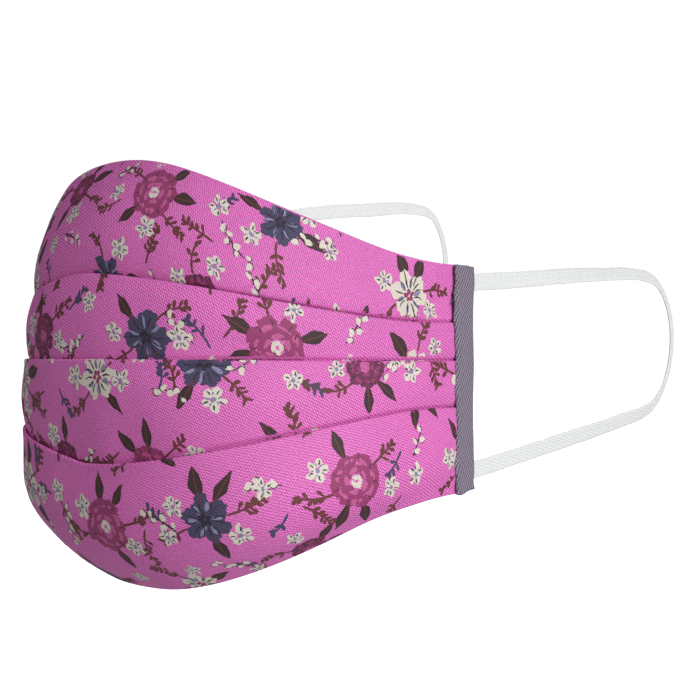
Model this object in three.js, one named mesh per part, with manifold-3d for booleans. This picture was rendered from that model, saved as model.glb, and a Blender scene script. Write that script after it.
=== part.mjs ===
import * as THREE from 'three';
import { mergeVertices } from 'three/addons/utils/BufferGeometryUtils.js';
import Module from 'manifold-3d';

// Pleated cloth face mask, held in the form it has when worn. All sizes in mm.
// Frame: +X to the wearer's left, the wearer faces -Y, +Z up.
// Measured from the middle of the middle fold's plane, then moved so that the nose seat is the origin.

// Plan of the cloth. Each row is a level line of the cloth that runs from edge to edge.
const SIDE_PLANE = 64.5;
const HALF_WIDTH = 122;
const EDGE_IN_TAPE = 3.2;

// chord: half the distance between its ends, reach: how far it stands in front of the side edges,
// squareness: how boxy its plan is, centre and side: its height at the middle and at the side edge,
// ease: how soon it leaves the middle height, farEase: the same on the wearer's right,
// bulge: how far the panel below it rounds out, lean: how far that rounding sits towards its lower end
const LINES = [
  // top hem
  {
    chord: 66.0, reach: 67.9, squareness: 2.9, centre: 58.0, side: 27.9,
    ease: 1.0, farEase: 1.0, bulge: 3.5, lean: 0,
  },
  // upper fold
  {
    chord: 64.5, reach: 80.2, squareness: 2.46, centre: 24.6, side: 10.9,
    ease: 0.91, farEase: 0.69, bulge: 0.9, lean: 0,
  },
  // middle fold
  {
    chord: 64.5, reach: 83.4, squareness: 2.47, centre: 0.5, side: -0.3,
    ease: 0.93, farEase: 0.93, bulge: -0.8, lean: 0,
  },
  // lower fold
  {
    chord: 64.5, reach: 79.9, squareness: 3.0, centre: -29.1, side: -13.9,
    ease: 1.03, farEase: 0.61, bulge: 8.2, lean: 0.83,
  },
  // bottom hem
  {
    chord: 64.8, reach: 58.6, squareness: 2.33, centre: -66.6, side: -38.9,
    ease: 1.18, farEase: 1.14, bulge: 0, lean: 0,
  },
];

// Knife pleats. Each fold's edge faces up and the panel below it hangs in front.
const CLOTH_WALL = 1.0;
const LAYER_GAP = 0.3;
const LAYER_PITCH = CLOTH_WALL + LAYER_GAP;
// tuck: how far the two hidden layers run down behind the panel below the fold, from the upper pleat down
const PLEATS = [
  { tuckCentre: 5.0, tuckSide: 4.5 },
  { tuckCentre: 5.0, tuckSide: 7.0 },
  { tuckCentre: 5.0, tuckSide: 9.0 },
];
const FOLD_CLEARANCE = 0.8;
const PANEL_MEETS_FOLD = 1.5;
const COLUMNS = 36;
const TURN_STEPS = 4;
const PANEL_STEPS = 7;
const SLOPE_STEPS = 5;
const LINE_SAMPLES = 400;
const DOWN_SAMPLES = 80;
// Steps to either side of a place on the surface, for its directions there
const ALONG_NEARBY = 0.5;
const LEVEL_NEARBY = 0.02;
// How far past the side edge the last column inside the cloth's middle part stands
const EDGE_COLUMN_GAP = 0.01;

// Tape folded over each side edge
const TAPE_WALL = 0.9;
const TAPE_DEPTH = 7.5;
const TAPE_CLEARANCE = 0.3;
// How far a cutting block reaches past the tape that it cuts
const CUT_PAST = 1;
const TAPE_TOP = 28.2;
const TAPE_BOTTOM = -39.2;

// Flat elastic ear loops
const ELASTIC_WIDTH = 5.0;
const ELASTIC_THICK = 1.0;
const SLOT_CLEARANCE = 0.3;
const ELASTIC_START = 3.6;
const TOP_STRAND = 23.0;
const BOTTOM_STRAND = -32.3;
const LOOP_STEPS = 60;
const CAVITY_INNER = SIDE_PLANE - CLOTH_WALL / 2 - TAPE_CLEARANCE;
const CAVITY_OUTER = SIDE_PLANE + 2 * LAYER_PITCH + CLOTH_WALL / 2 + TAPE_CLEARANCE;
const STRAND_SIDE = (CAVITY_INNER + CAVITY_OUTER) / 2;

// side: distance from the middle plane, back: behind the side edges, up: height,
// turn: degrees by which the band has rolled from upright
const LEFT_LOOP = [
  { side: STRAND_SIDE, back: ELASTIC_START, up: TOP_STRAND, turn: 0 },
  { side: STRAND_SIDE, back: 9, up: TOP_STRAND, turn: 0 },
  { side: 65.9, back: 28, up: 24.0, turn: 12 },
  { side: 65.3, back: 52, up: 25.8, turn: 28 },
  { side: 64.3, back: 72, up: 26.8, turn: 45 },
  { side: 63.4, back: 88, up: 27.1, turn: 57 },
  { side: 62.6, back: 98.6, up: 25.0, turn: 60 },
  { side: 62.0, back: 105.4, up: 17.5, turn: 54 },
  { side: 62.0, back: 107.6, up: 6.5, turn: 48 },
  { side: 62.2, back: 104.6, up: -5.8, turn: 45 },
  { side: 62.8, back: 96.8, up: -14.8, turn: 32 },
  { side: 64.0, back: 76, up: -20.1, turn: 16 },
  { side: 65.2, back: 52, up: -24.5, turn: 8 },
  { side: 65.9, back: 28, up: -28.9, turn: 3 },
  { side: STRAND_SIDE, back: 9, up: BOTTOM_STRAND, turn: 0 },
  { side: STRAND_SIDE, back: ELASTIC_START, up: BOTTOM_STRAND, turn: 0 },
];
// The wearer's right loop sits higher at the back, as an ear would hold it
const RIGHT_LOOP = [
  { side: STRAND_SIDE, back: ELASTIC_START, up: TOP_STRAND, turn: 0 },
  { side: STRAND_SIDE, back: 9, up: TOP_STRAND + 0.4, turn: 0 },
  { side: 65.8, back: 21, up: 29.0, turn: 0 },
  { side: 65.2, back: 36, up: 40.5, turn: 0 },
  { side: 63.6, back: 51, up: 49.0, turn: 4 },
  { side: 61.5, back: 66.5, up: 52.0, turn: 10 },
  { side: 57.5, back: 84, up: 53.4, turn: 25 },
  { side: 53.6, back: 99, up: 54.5, turn: 45 },
  { side: 51.2, back: 109.4, up: 52.6, turn: 50 },
  { side: 50.0, back: 113.8, up: 45.5, turn: 50 },
  { side: 49.8, back: 116.0, up: 34.0, turn: 48 },
  { side: 50.2, back: 113.6, up: 22.0, turn: 45 },
  { side: 53.0, back: 103, up: 9.0, turn: 38 },
  { side: 57.5, back: 84, up: -3.5, turn: 22 },
  { side: 62.0, back: 60, up: -14.0, turn: 10 },
  { side: 65.3, back: 34, up: -24.0, turn: 3 },
  { side: STRAND_SIDE, back: 11, up: BOTTOM_STRAND + 0.5, turn: 0 },
  { side: STRAND_SIDE, back: ELASTIC_START, up: BOTTOM_STRAND, turn: 0 },
];

// The inner face of the top hem at the middle, where the mask rests on the nose
const NOSE_SEAT = [0, -67.4, 58.0];

const DEGREE = Math.PI / 180;
const mix = (from, to, share) => from + (to - from) * share;
const smooth = (share) => share * share * (3 - 2 * share);

// Plan curve of one line from the middle to the side edge, with its running length
function planOf(line) {
  const points = [];
  let length = 0;
  for (let i = 0; i <= LINE_SAMPLES; i += 1) {
    const angle = (Math.PI / 2) * (i / LINE_SAMPLES);
    const x = line.chord * Math.pow(Math.sin(angle), 2 / line.squareness);
    const y = -line.reach * Math.pow(Math.max(Math.cos(angle), 0), 2 / line.squareness);
    if (i > 0) {
      const last = points[i - 1];
      length += Math.hypot(x - last.x, y - last.y);
    }
    points.push({ x, y, length });
  }
  return points;
}
const PLANS = LINES.map(planOf);

// A point of one line at a distance along the cloth from its middle
function linePoint(index, along) {
  const line = LINES[index];
  const plan = PLANS[index];
  const share = Math.min(Math.abs(along) / HALF_WIDTH, 1);
  const target = share * plan[plan.length - 1].length;
  let i = 1;
  while (i < plan.length - 1 && plan[i].length < target) i += 1;
  const a = plan[i - 1];
  const b = plan[i];
  const between = (target - a.length) / (b.length - a.length);
  const beyond = Math.max(Math.abs(along) - HALF_WIDTH, 0);
  const ease = along < 0 ? line.farEase : line.ease;
  const fall = 0.5 + 0.5 * Math.cos(Math.PI * Math.pow(share, ease));
  return new THREE.Vector3(
    Math.sign(along) * mix(a.x, b.x, between),
    mix(a.y, b.y, between) + beyond,
    mix(line.side, line.centre, fall),
  );
}

// A point of the cloth's base surface, between the lines, by a curve through them
function surfacePoint(along, level) {
  const last = LINES.length - 1;
  const index = Math.min(Math.floor(level), last - 1);
  const t = level - index;
  const at = (k) => linePoint(k, along);
  const p1 = at(index);
  const p2 = at(index + 1);
  const p0 = index > 0 ? at(index - 1) : p1.clone().multiplyScalar(2).sub(p2);
  const p3 = index + 2 <= last ? at(index + 2) : p2.clone().multiplyScalar(2).sub(p1);
  const curve = (a, b, c, d) => 0.5 * (2 * b + (c - a) * t + (2 * a - 5 * b + 4 * c - d) * t * t
    + (3 * b - a - 3 * c + d) * t * t * t);
  const point = new THREE.Vector3(
    curve(p0.x, p1.x, p2.x, p3.x),
    curve(p0.y, p1.y, p2.y, p3.y),
    curve(p0.z, p1.z, p2.z, p3.z),
  );
  const share = Math.min(Math.abs(along) / HALF_WIDTH, 1);
  const { bulge, lean } = LINES[index];
  const round = bulge * 4 * t * (1 - t) * (1 + lean * (2 * t - 1)) * (1 - share * share);
  const outward = new THREE.Vector3(point.x, point.y, 0).normalize();
  return point.addScaledVector(outward, round);
}

// One column of the cloth: positions and outward normals down it, with the running length
function columnAt(along) {
  const last = LINES.length - 1;
  const samples = [];
  let length = 0;
  for (let i = 0; i <= DOWN_SAMPLES; i += 1) {
    const level = (last * i) / DOWN_SAMPLES;
    const here = surfacePoint(along, level);
    const side = surfacePoint(along + ALONG_NEARBY, level).sub(surfacePoint(along - ALONG_NEARBY, level));
    const below = surfacePoint(along, Math.min(level + LEVEL_NEARBY, last));
    const down = below.sub(surfacePoint(along, Math.max(level - LEVEL_NEARBY, 0)));
    const normal = down.cross(side).normalize();
    if (i > 0) length += here.distanceTo(samples[i - 1].here);
    samples.push({ here, normal, length });
  }
  const perLine = DOWN_SAMPLES / last;
  return {
    crests: LINES.map((line, k) => samples[k * perLine].length),
    at(down, out) {
      let i = 1;
      while (i < samples.length - 1 && samples[i].length < down) i += 1;
      const a = samples[i - 1];
      const b = samples[i];
      const share = (down - a.length) / (b.length - a.length);
      const normal = a.normal.clone().lerp(b.normal, share).normalize();
      return a.here.clone().lerp(b.here, share).addScaledVector(normal, out);
    },
  };
}

// The path of the cloth's mid-layer down one column, as steps down the surface and out from it
function pleatPath(crests, along) {
  const radius = LAYER_PITCH / 2;
  const share = Math.min(Math.abs(along) / HALF_WIDTH, 1);
  const central = 0.5 + 0.5 * Math.cos(Math.PI * share);
  const tucks = PLEATS.map((pleat) => mix(pleat.tuckSide, pleat.tuckCentre, central));
  const path = [];
  const turn = (middle, out, way) => {
    for (let i = 0; i <= TURN_STEPS; i += 1) {
      const angle = Math.PI * (i / TURN_STEPS) - Math.PI / 2;
      path.push([middle + way * radius * Math.cos(angle), out + radius * Math.sin(angle)]);
    }
  };
  const valleyOf = (k) => crests[k + 1] + tucks[k] - radius;
  for (let i = 0; i < PANEL_STEPS; i += 1) {
    path.push([valleyOf(0) * (i / PANEL_STEPS), 0]);
  }
  for (let k = 0; k < PLEATS.length; k += 1) {
    const crest = crests[k + 1];
    turn(valleyOf(k), radius, 1);
    turn(crest + radius, 3 * radius, -1);
    const slopeStart = crest + tucks[k] + CLOTH_WALL / 2 + FOLD_CLEARANCE;
    const ends = k === PLEATS.length - 1;
    const slopeEnd = ends ? mix(slopeStart, crests[k + 2], 0.5) : crests[k + 2] - PANEL_MEETS_FOLD;
    for (let i = 0; i <= SLOPE_STEPS; i += 1) {
      const part = i / SLOPE_STEPS;
      path.push([mix(slopeStart, slopeEnd, part), 2 * LAYER_PITCH * (1 - smooth(part))]);
    }
    if (ends) {
      path.push([mix(slopeEnd, crests[k + 2], 0.5), 0]);
      path.push([crests[k + 2], 0]);
    }
  }
  return path;
}

// The closed outline of the cloth's wall around that path
function wallOutline(path) {
  const front = [];
  const back = [];
  path.forEach((here, i) => {
    const before = path[Math.max(i - 1, 0)];
    const after = path[Math.min(i + 1, path.length - 1)];
    const length = Math.hypot(after[0] - before[0], after[1] - before[1]);
    const normal = [-(after[1] - before[1]) / length, (after[0] - before[0]) / length];
    front.push([here[0] + (normal[0] * CLOTH_WALL) / 2, here[1] + (normal[1] * CLOTH_WALL) / 2]);
    back.push([here[0] - (normal[0] * CLOTH_WALL) / 2, here[1] - (normal[1] * CLOTH_WALL) / 2]);
  });
  return front.concat(back.reverse());
}

// Joins equal rings of points into one closed solid, capped with strips at both ends
function solidFromRings(rings) {
  const count = rings[0].length;
  const positions = [];
  rings.forEach((ring) => ring.forEach((p) => positions.push(p.x, p.y, p.z)));
  const index = [];
  for (let r = 0; r < rings.length - 1; r += 1) {
    for (let i = 0; i < count; i += 1) {
      const a = r * count + i;
      const b = r * count + ((i + 1) % count);
      const c = a + count;
      const d = b + count;
      index.push(a, b, d, a, d, c);
    }
  }
  const lastRing = (rings.length - 1) * count;
  for (let i = 0; i < count / 2 - 1; i += 1) {
    const j = count - 1 - i;
    index.push(i, j - 1, i + 1, i, j, j - 1);
    index.push(lastRing + i, lastRing + i + 1, lastRing + j - 1, lastRing + i, lastRing + j - 1, lastRing + j);
  }
  if (signedVolume(positions, index) < 0) {
    for (let i = 0; i < index.length; i += 3) {
      const keep = index[i + 1];
      index[i + 1] = index[i + 2];
      index[i + 2] = keep;
    }
  }
  const geometry = new THREE.BufferGeometry();
  geometry.setAttribute('position', new THREE.Float32BufferAttribute(positions, 3));
  geometry.setIndex(index);
  geometry.computeVertexNormals();
  return geometry;
}

function signedVolume(positions, index) {
  const corner = (i) => new THREE.Vector3(positions[3 * i], positions[3 * i + 1], positions[3 * i + 2]);
  let volume = 0;
  for (let i = 0; i < index.length; i += 3) {
    volume += corner(index[i]).dot(corner(index[i + 1]).cross(corner(index[i + 2])));
  }
  return volume / 6;
}

function clothGeometry() {
  const rings = [];
  const reachAlong = HALF_WIDTH + EDGE_IN_TAPE;
  const edge = (HALF_WIDTH + EDGE_COLUMN_GAP) / reachAlong;
  for (let i = 0; i <= COLUMNS; i += 1) {
    const share = -1 + (2 * i) / COLUMNS;
    const inner = i > 0 && i < COLUMNS;
    const along = inner ? share * (COLUMNS / (COLUMNS - 2)) * edge * reachAlong : share * reachAlong;
    const column = columnAt(along);
    rings.push(wallOutline(pleatPath(column.crests, along)).map(([down, out]) => column.at(down, out)));
  }
  return solidFromRings(rings);
}

// A box between two limits along each axis, as a solid that can be cut
function boxSolid(wasm, side, back, up) {
  const box = new THREE.BoxGeometry(side[1] - side[0], back[1] - back[0], up[1] - up[0]);
  box.translate((side[0] + side[1]) / 2, (back[0] + back[1]) / 2, (up[0] + up[1]) / 2);
  box.deleteAttribute('normal');
  box.deleteAttribute('uv');
  const merged = mergeVertices(box);
  return new wasm.Manifold(new wasm.Mesh({
    numProp: 3,
    vertProperties: merged.attributes.position.array,
    triVerts: new Uint32Array(merged.index.array),
  }));
}

// The folded tape: a channel over the cloth's edge, with a slot behind for each elastic end
function tapeGeometry(wasm, sign) {
  const block = (side, back, up) => {
    const limits = sign > 0 ? side : [-side[1], -side[0]];
    return boxSolid(wasm, limits, back, up);
  };
  const outside = block(
    [CAVITY_INNER - TAPE_WALL, CAVITY_OUTER + TAPE_WALL],
    [0, TAPE_DEPTH],
    [TAPE_BOTTOM, TAPE_TOP],
  );
  const cavity = block(
    [CAVITY_INNER, CAVITY_OUTER],
    [-CUT_PAST, TAPE_DEPTH - TAPE_WALL],
    [TAPE_BOTTOM - CUT_PAST, TAPE_TOP + CUT_PAST],
  );
  const slot = (up) => {
    const halfThick = ELASTIC_THICK / 2 + SLOT_CLEARANCE;
    const halfWidth = ELASTIC_WIDTH / 2 + SLOT_CLEARANCE;
    return block(
      [STRAND_SIDE - halfThick, STRAND_SIDE + halfThick],
      [TAPE_DEPTH - 2 * TAPE_WALL, TAPE_DEPTH + CUT_PAST],
      [up - halfWidth, up + halfWidth],
    );
  };
  const solid = outside.subtract(cavity).subtract(slot(TOP_STRAND)).subtract(slot(BOTTOM_STRAND));
  const mesh = solid.getMesh();
  const positions = [];
  for (let i = 0; i < mesh.vertProperties.length; i += mesh.numProp) {
    positions.push(mesh.vertProperties[i], mesh.vertProperties[i + 1], mesh.vertProperties[i + 2]);
  }
  const geometry = new THREE.BufferGeometry();
  geometry.setAttribute('position', new THREE.Float32BufferAttribute(positions, 3));
  geometry.setIndex(Array.from(mesh.triVerts));
  geometry.computeVertexNormals();
  return geometry;
}

// The flat band swept along its table: upright at the tape, rolled by its turn at the back
function loopGeometry(table, sign) {
  const points = table.map((row) => new THREE.Vector3(sign * row.side, row.back, row.up));
  const curve = new THREE.CatmullRomCurve3(points, false, 'centripetal');
  const rings = [];
  for (let i = 0; i <= LOOP_STEPS; i += 1) {
    const t = i / LOOP_STEPS;
    const centre = curve.getPoint(t);
    const tangent = curve.getTangent(t).normalize();
    const place = t * (table.length - 1);
    const index = Math.min(Math.floor(place), table.length - 2);
    const turn = mix(table[index].turn, table[index + 1].turn, smooth(place - index)) * DEGREE;
    const sideways = new THREE.Vector3(1, 0, 0).addScaledVector(tangent, -tangent.x).normalize();
    const upright = tangent.clone().cross(sideways);
    const wide = upright.clone().multiplyScalar(Math.cos(turn)).addScaledVector(sideways, Math.sin(turn));
    const thick = tangent.clone().cross(wide);
    const corner = (w, h) => centre.clone()
      .addScaledVector(wide, (w * ELASTIC_WIDTH) / 2)
      .addScaledVector(thick, (h * ELASTIC_THICK) / 2);
    rings.push([corner(-1, -1), corner(1, -1), corner(1, 1), corner(-1, 1)]);
  }
  return solidFromRings(rings);
}

function piece(name, geometry, color, roughness) {
  const material = new THREE.MeshStandardMaterial({ color, roughness, metalness: 0 });
  const mesh = new THREE.Mesh(geometry, material);
  mesh.name = name;
  mesh.position.set(-NOSE_SEAT[0], -NOSE_SEAT[1], -NOSE_SEAT[2]);
  return mesh;
}

const wasm = await Module();
wasm.setup();

const mask = new THREE.Group();
mask.name = 'cloth_face_mask';
mask.add(piece('mask_cloth', clothGeometry(), 0xd6478c, 0.7));
mask.add(piece('binding_left', tapeGeometry(wasm, 1), 0x8f8a94, 0.8));
mask.add(piece('binding_right', tapeGeometry(wasm, -1), 0x8f8a94, 0.8));
mask.add(piece('ear_loop_left', loopGeometry(LEFT_LOOP, 1), 0xf2f2f0, 0.8));
mask.add(piece('ear_loop_right', loopGeometry(RIGHT_LOOP, -1), 0xf2f2f0, 0.8));

export default mask;
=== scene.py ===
"""Looks of a pleated cloth face mask: printed twill in three knife pleats, folded side tapes, elastic loops.

Lengths in the tables are millimetres in the construction frame, whose origin is the middle of the middle
fold's plane on the side edges. Meshes are written in metres in the part's frame, whose origin is the
nose seat.
"""
import math

import bpy
import numpy as np
from mathutils import Matrix, Vector


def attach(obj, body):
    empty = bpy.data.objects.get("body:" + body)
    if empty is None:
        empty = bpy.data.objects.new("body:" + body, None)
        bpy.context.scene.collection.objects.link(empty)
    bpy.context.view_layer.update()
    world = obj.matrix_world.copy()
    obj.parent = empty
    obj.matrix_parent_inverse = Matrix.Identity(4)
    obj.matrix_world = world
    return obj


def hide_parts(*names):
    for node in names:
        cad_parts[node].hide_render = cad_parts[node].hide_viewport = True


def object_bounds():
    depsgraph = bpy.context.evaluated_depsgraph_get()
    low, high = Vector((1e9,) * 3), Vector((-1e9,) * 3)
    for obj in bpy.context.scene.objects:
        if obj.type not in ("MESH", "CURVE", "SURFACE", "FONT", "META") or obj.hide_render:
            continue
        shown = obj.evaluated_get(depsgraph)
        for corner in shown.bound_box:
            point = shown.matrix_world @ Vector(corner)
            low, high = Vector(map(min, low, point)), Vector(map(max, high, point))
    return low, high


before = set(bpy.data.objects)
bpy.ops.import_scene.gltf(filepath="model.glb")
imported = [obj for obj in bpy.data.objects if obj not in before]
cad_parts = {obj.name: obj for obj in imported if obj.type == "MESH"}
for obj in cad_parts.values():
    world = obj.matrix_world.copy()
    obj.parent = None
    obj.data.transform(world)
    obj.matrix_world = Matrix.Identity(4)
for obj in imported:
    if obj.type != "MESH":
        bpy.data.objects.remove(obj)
cad_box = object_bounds()

MM = 0.001
NOSE_SEAT = np.array([0.0, -67.4, 58.0])

# Plan and height of the cloth's level lines, as in the part's source
HALF_WIDTH = 122.0
EDGE_IN_TAPE = 3.0
LINES = [
    dict(chord=66.0, reach=67.9, squareness=2.9, centre=58.0, side=27.9, ease=1.0, far_ease=1.0,
         bulge=3.5, lean=0.0),
    dict(chord=64.5, reach=80.2, squareness=2.46, centre=24.6, side=10.9, ease=0.91, far_ease=0.69,
         bulge=0.9, lean=0.0),
    dict(chord=64.5, reach=83.4, squareness=2.47, centre=0.5, side=-0.3, ease=0.93, far_ease=0.93,
         bulge=-0.8, lean=0.0),
    dict(chord=64.5, reach=79.9, squareness=3.0, centre=-29.1, side=-13.9, ease=1.03, far_ease=0.61,
         bulge=8.2, lean=0.83),
    dict(chord=64.8, reach=58.6, squareness=2.33, centre=-66.6, side=-38.9, ease=1.18, far_ease=1.14,
         bulge=0.0, lean=0.0),
]
LAST_PANEL = len(LINES) - 2
TUCKS = [(5.0, 4.5), (5.0, 7.0), (5.0, 9.0)]

# The sewn layers are thinner than the source's walls and fill the same depth
WALL = 0.6
PITCH = 0.68
CREST_OUT = 2.8
RETURN_OUT = CREST_OUT - PITCH
UNDER_OUT = 1.2
SAGS = [0.5, 0.8, 1.6]

# Stretches along the cloth, each a start and a length: where the near side's sag comes and goes, where the
# layers are pinched together, and where the open middle turns into the flatter sides
SAG_COMES, SAG_GOES = (6.0, 20.0), (58.0, 26.0)
PINCH = (84.0, 34.0)
SIDES = (20.0, 45.0)

# How far out the pinched hems lie, and how much further out a face stays at the side
TOP_HEM_PINCHED, BOTTOM_HEM_PINCHED = 0.9, 1.7
SIDE_LIFT = 0.95

# Shares of a face's height where it starts and ends moving in, with what the side and the pinch add
SETTLE_START, SETTLE_START_ASIDE, SETTLE_START_PINCHED = 0.12, 0.38, 0.16
SETTLE_END, SETTLE_END_ASIDE = 0.93, 0.04

# A face at the side dives in from this far above the next crest, over this length
DIVE_ABOVE, DIVE_LENGTH = 1.7, 1.5

# Ends of a panel's face and of its hidden layers: distances from the next crest, and shares of the tuck
FACE_ROW_STEP = 0.55
FACE_END, HIDDEN_START = 0.5, 0.4
BACK_SHARES = np.array([0.55, 0.3])
RETURN_SHARE = 0.6

# Grid of the cloth: columns across it, samples down the base surface
COLUMN_STEP = 0.62
LEVEL_SAMPLES = 200
DOWN_STEP = 0.4
ABOVE_HEM, BELOW_HEM = 4.0, 8.0
SPARE_ROWS = 12


def smooth(t):
    t = np.clip(t, 0.0, 1.0)
    return t * t * (3.0 - 2.0 * t)


def stretch(value, start, length):
    """Rises softly from 0 to 1 over a length after the start."""
    return smooth((value - start) / length)


def line_points(line, along):
    """Points of one level line at distances along the cloth from its middle."""
    angle = np.linspace(0.0, math.pi / 2, 401)
    x = line["chord"] * np.sin(angle) ** (2 / line["squareness"])
    y = -line["reach"] * np.clip(np.cos(angle), 0.0, 1.0) ** (2 / line["squareness"])
    length = np.concatenate([[0.0], np.cumsum(np.hypot(np.diff(x), np.diff(y)))])
    share = np.clip(np.abs(along) / HALF_WIDTH, 0.0, 1.0)
    beyond = np.clip(np.abs(along) - HALF_WIDTH, 0.0, None)
    ease = np.where(along < 0, line["far_ease"], line["ease"])
    fall = 0.5 + 0.5 * np.cos(math.pi * share ** ease)
    return np.stack([
        np.sign(along) * np.interp(share * length[-1], length, x),
        np.interp(share * length[-1], length, y) + beyond,
        line["side"] + (line["centre"] - line["side"]) * fall,
    ], axis=-1)


def base_surface(along, levels):
    """Base surface of the cloth, columns by levels, as a curve through the level lines."""
    rows = [line_points(line, along) for line in LINES]
    rows = [2 * rows[0] - rows[1], *rows, 2 * rows[-1] - rows[-2]]
    rows = np.stack(rows)
    index = np.minimum(levels.astype(int), len(LINES) - 2)
    t = (levels - index)[:, None, None]
    a, b, c, d = (rows[index + k] for k in range(4))
    point = 0.5 * (2 * b + (c - a) * t + (2 * a - 5 * b + 4 * c - d) * t ** 2
                   + (3 * b - a - 3 * c + d) * t ** 3)
    share = np.clip(np.abs(along) / HALF_WIDTH, 0.0, 1.0)
    bulge = np.array([line["bulge"] for line in LINES])[index][:, None, None]
    lean = np.array([line["lean"] for line in LINES])[index][:, None, None]
    outward = point * np.array([1.0, 1.0, 0.0])
    outward /= np.linalg.norm(outward, axis=-1, keepdims=True)
    bulge = bulge * 4 * t * (1 - t) * (1 + lean * (2 * t - 1))
    point = point + outward * bulge * (1 - share ** 2)[None, :, None]
    return point.transpose(1, 0, 2)


class Cloth:
    """The base surface resampled by running length, so that a place is (along, down, out) in mm."""

    def __init__(self):
        reach = HALF_WIDTH + EDGE_IN_TAPE
        self.columns = np.linspace(-reach, reach, int(round(2 * reach / COLUMN_STEP)) + 1)
        levels = np.linspace(0.0, len(LINES) - 1.0, LEVEL_SAMPLES + 1)
        points = base_surface(self.columns, levels)
        side = np.gradient(points, self.columns, axis=0)
        down = np.gradient(points, levels, axis=1)
        normals = np.cross(down, side)
        normals /= np.linalg.norm(normals, axis=-1, keepdims=True)
        steps = np.linalg.norm(np.diff(points, axis=1), axis=-1)
        lengths = np.concatenate([np.zeros((len(points), 1)), np.cumsum(steps, axis=1)], axis=1)
        per_line = LEVEL_SAMPLES // (len(LINES) - 1)
        self.crests = lengths[:, ::per_line]
        count = int(lengths.max() / DOWN_STEP) + SPARE_ROWS
        self.start = -ABOVE_HEM
        self.downs = self.start + DOWN_STEP * np.arange(count + int(BELOW_HEM / DOWN_STEP))
        self.points = np.empty((len(points), len(self.downs), 3))
        self.normals = np.empty_like(self.points)
        for i, length in enumerate(lengths):
            for axis in range(3):
                self.points[i, :, axis] = np.interp(self.downs, length, points[i, :, axis])
                self.normals[i, :, axis] = np.interp(self.downs, length, normals[i, :, axis])
            before = np.clip(-self.downs, 0.0, None)[:, None]
            after = np.clip(self.downs - length[-1], 0.0, None)[:, None]
            rise = points[i, 0] - points[i, 1]
            drop = points[i, -1] - points[i, -2]
            self.points[i] += before * rise / np.linalg.norm(rise) + after * drop / np.linalg.norm(drop)

    def crest(self, line, along):
        return np.interp(along, self.columns, self.crests[:, line])

    def at(self, along, down, out):
        """Positions for equal arrays of places, in mm."""
        along, down, out = np.broadcast_arrays(along, down, out)
        u = (along - self.columns[0]) / (self.columns[1] - self.columns[0])
        v = (down - self.start) / DOWN_STEP
        i = np.clip(u.astype(int), 0, len(self.columns) - 2)
        j = np.clip(v.astype(int), 0, len(self.downs) - 2)
        p = (u - i)[..., None]
        q = (v - j)[..., None]
        mixed = []
        for grid in (self.points, self.normals):
            near = grid[i, j] * (1 - q) + grid[i, j + 1] * q
            far = grid[i + 1, j] * (1 - q) + grid[i + 1, j + 1] * q
            mixed.append(near * (1 - p) + far * p)
        normal = mixed[1] / np.linalg.norm(mixed[1], axis=-1, keepdims=True)
        return mixed[0] + normal * (out + relief(along, down))[..., None]


def relief(along, down):
    """Soft unevenness of the worn cloth, shared by all its layers, in mm."""
    edge = np.clip(np.abs(along) / HALF_WIDTH, 0.0, 1.0)
    calm = 1.0 - smooth((edge - 0.93) / 0.07)
    soft = 0.34 * np.sin(along / 13.0 + 0.9 * np.sin(down / 17.0)) * np.sin(down / 11.0 + along / 29.0)
    drag = 0.26 * np.sin((np.abs(along) * 0.55 + down) / 4.6) * smooth((edge - 0.55) / 0.35)
    return (soft + drag) * calm


cloth = Cloth()

# Angles of a half turn, for the rounds of the folds
TURN = np.linspace(-math.pi / 2, math.pi / 2, 7)


def tuck(pleat, along):
    centre, side = TUCKS[pleat]
    share = np.clip(np.abs(along) / HALF_WIDTH, 0.0, 1.0)
    return side + (centre - side) * (0.5 + 0.5 * np.cos(math.pi * share))


def under_out(panel, along):
    """How far out a panel's lower end lies, behind the next crest. The near side sags in there."""
    sag = stretch(along, *SAG_COMES) * (1.0 - stretch(along, *SAG_GOES))
    return UNDER_OUT - SAGS[panel] * sag


def face_out(panel, below, height, along):
    """How far out a panel's middle layer lies at a distance below its crest.

    It dives in just above the next crest. Towards the side tapes the layers are pinched together, so each
    panel stays out until just above the next fold.
    """
    pinch = stretch(np.abs(along), *PINCH)
    start = TOP_HEM_PINCHED * pinch if panel == 0 else CREST_OUT
    end = BOTTOM_HEM_PINCHED * pinch if panel == LAST_PANEL else under_out(panel, along)
    aside = stretch(np.abs(along), *SIDES)
    first = SETTLE_START + SETTLE_START_ASIDE * aside + SETTLE_START_PINCHED * pinch
    last = SETTLE_END + SETTLE_END_ASIDE * aside
    settle = smooth((below / height - first) / (last - first))
    out = start + (end - start) * settle
    if panel == LAST_PANEL:
        return out
    dive = stretch(below - height, -DIVE_ABOVE, DIVE_LENGTH)
    return out + SIDE_LIFT * aside * settle * (1.0 - dive)


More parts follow.
